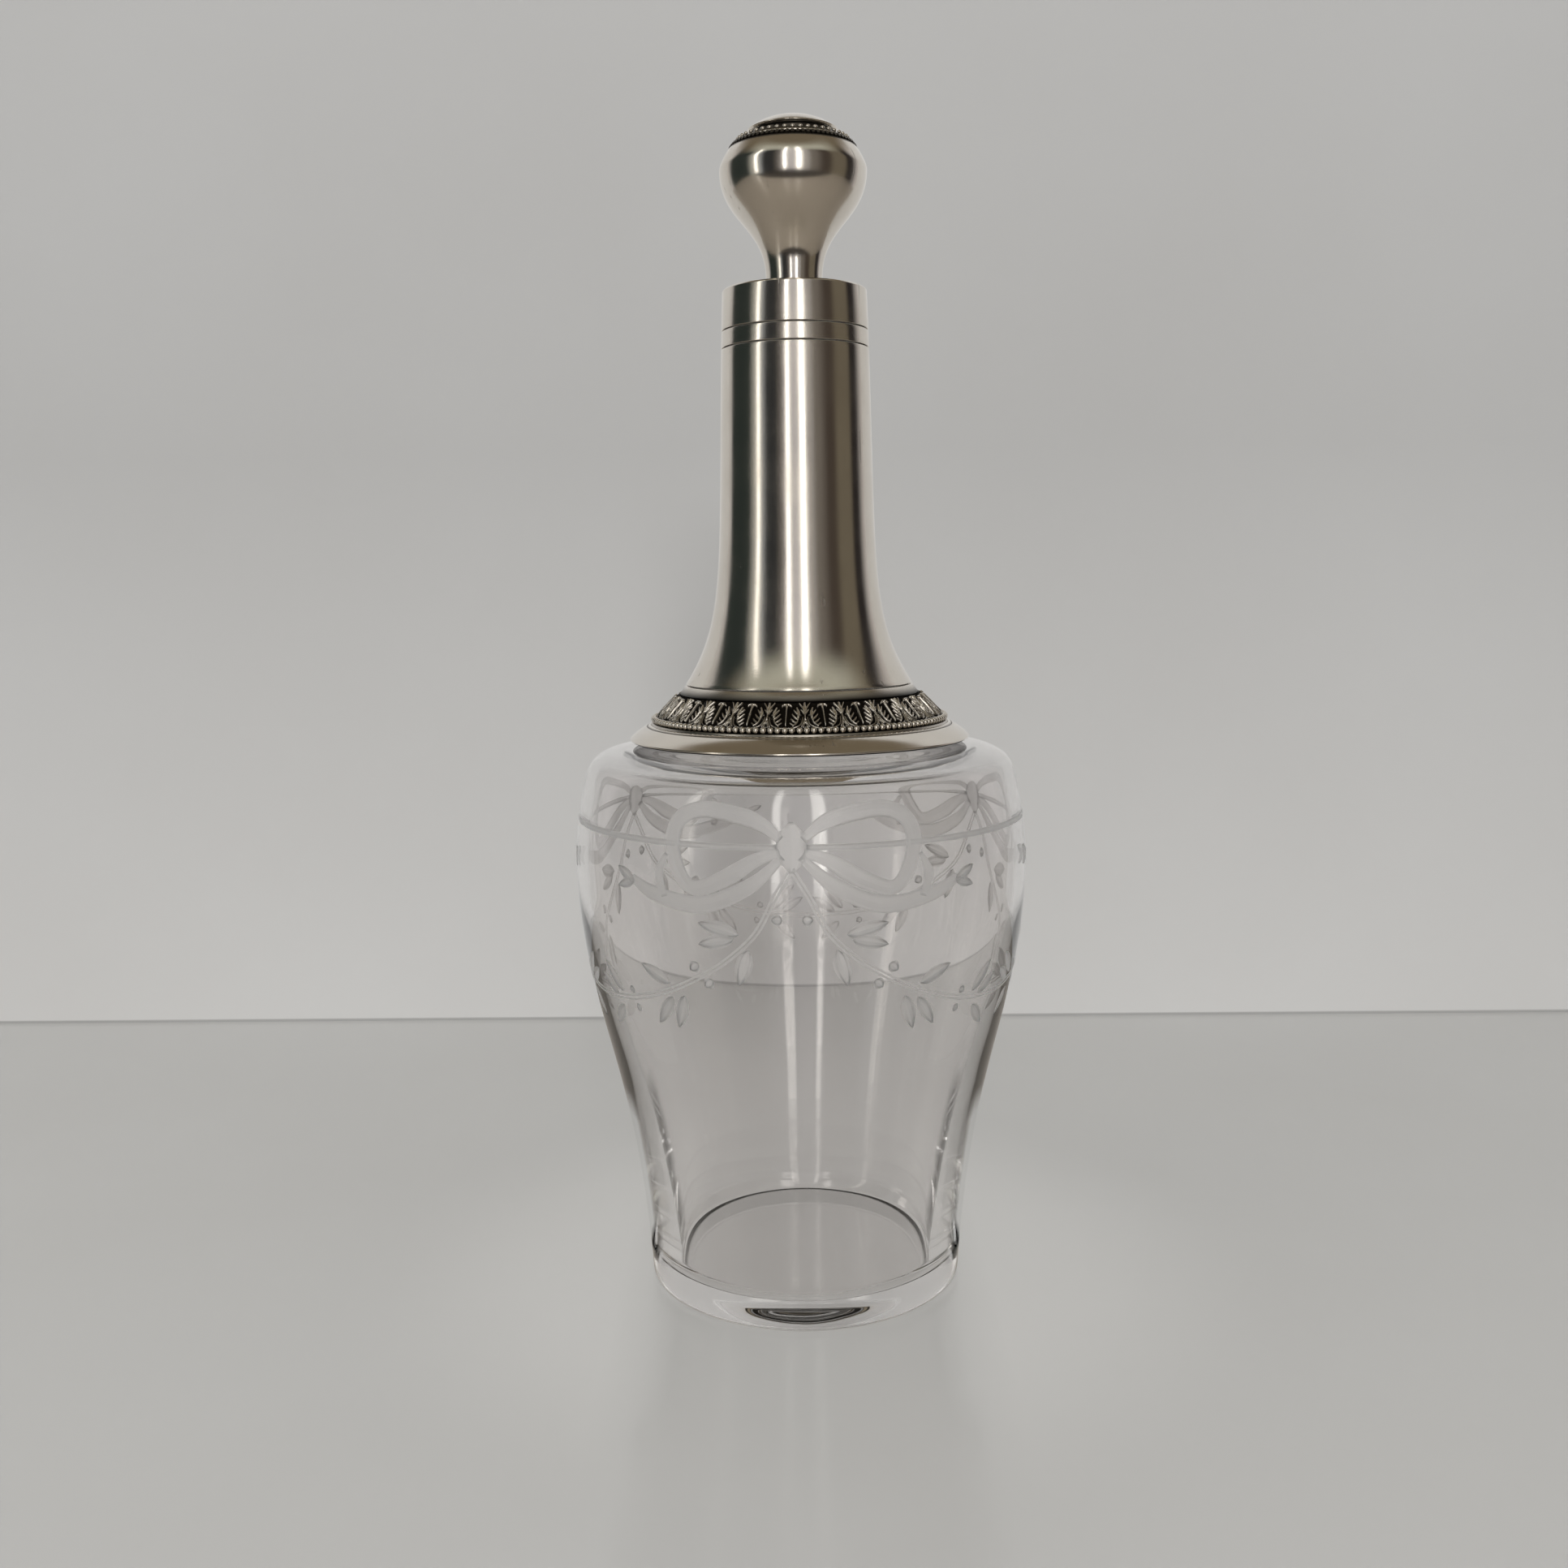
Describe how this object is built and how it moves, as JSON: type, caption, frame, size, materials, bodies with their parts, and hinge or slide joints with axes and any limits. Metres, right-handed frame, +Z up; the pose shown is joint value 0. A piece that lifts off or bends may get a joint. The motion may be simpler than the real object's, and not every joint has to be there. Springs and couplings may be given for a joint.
{
  "type": "wine carafe",
  "caption": "Clear glass wine carafe with engraved bows and swags, a tall silver neck mount and a silver-knobbed ground glass stopper that lifts out.",
  "frame": {"origin": "centre of the glass body's underside, on the surface that the foot stands on", "axes": "+Z up along the carafe's axis; -Y towards the viewer, where one engraved bow faces"},
  "size_m": [0.1098, 0.1098, 0.2793],
  "materials": {
    "clear_glass": "polished, with frosted engraving",
    "ground_glass": "ground",
    "silver": "satin, lightly brushed",
    "darkened_silver": "satin with darkened hollows",
    "plaster": "matte"
  },
  "bodies": {
    "carafe": {"glass_body": "clear_glass", "plaster_bed": "plaster", "shoulder_flange": "silver", "bead_wire": "silver", "leaf_frieze": "darkened_silver", "neck_sleeve": "silver", "collar_band": "silver", "mouth_collar": "silver"},
    "stopper": {"stopper_knob": "silver", "stopper_toothed_ring": "darkened_silver", "stopper_fillet": "silver", "stopper_bead_ring": "silver", "stopper_dome": "silver", "stopper_plug": "ground_glass", "stopper_plaster": "plaster"}
  },
  "joints": [
    {"name": "stopper_lift", "type": "slide", "parent": "carafe", "child": "stopper", "axis": [0, 0, 1], "range_m": [0, 0.045]}
  ]
}
